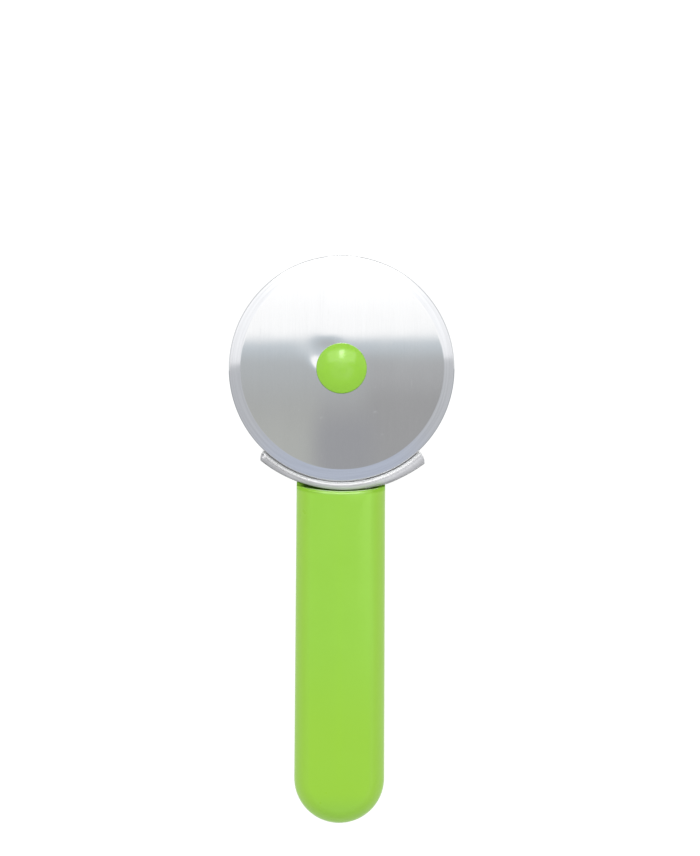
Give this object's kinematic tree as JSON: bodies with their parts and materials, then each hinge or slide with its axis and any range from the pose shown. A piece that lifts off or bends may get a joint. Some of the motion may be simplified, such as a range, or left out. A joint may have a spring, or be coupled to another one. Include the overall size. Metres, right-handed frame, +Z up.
{
  "type": "pizza cutter wheel",
  "caption": "Hand-held pizza cutter: a round steel blade turns freely on a short axle in front of a flat steel arm, behind a curved steel finger guard and above a plain green rounded handle.",
  "frame": {"origin": "middle of the footprint, on the table plane that the cutter lies on with its back down", "axes": "+Y from the handle's rounded end towards the wheel; +Z up, out of the front face, parallel to the wheel's axle; +X to the right seen from the front with the wheel up"},
  "size_m": [0.07, 0.1755, 0.013],
  "materials": {
    "blade_steel": "polished stainless sheet with faint rolling lines, ground bevel on both sides of the cutting edge",
    "arm_steel": "stainless strip, brushed lengthwise",
    "guard_steel": "stainless sheet, brushed, rounded bright lips",
    "rivet_steel": "turned steel",
    "bush_plastic": "natural acetal, as moulded",
    "handle_plastic": "lime green ABS, satin mould finish",
    "cap_plastic": "lime green ABS, polished mould finish",
    "screw_steel": "zinc-plated steel"
  },
  "bodies": {
    "handle": {"handle_front_shell": "handle_plastic", "handle_back_shell": "handle_plastic", "handle_screws": "screw_steel", "support_arm": "arm_steel", "finger_guard": "guard_steel", "axle_rivet": "rivet_steel", "rivet_collar": "rivet_steel", "front_cap": "cap_plastic", "rear_cap": "cap_plastic"},
    "blade_wheel": {"blade": "blade_steel", "rear_bush": "bush_plastic", "front_bush": "bush_plastic"}
  },
  "joints": [
    {"name": "blade_spin", "type": "hinge", "parent": "handle", "child": "blade_wheel", "pos_m": [0, 0.05275, 0.00645], "axis": [0, 0, 1], "continuous": true}
  ]
}
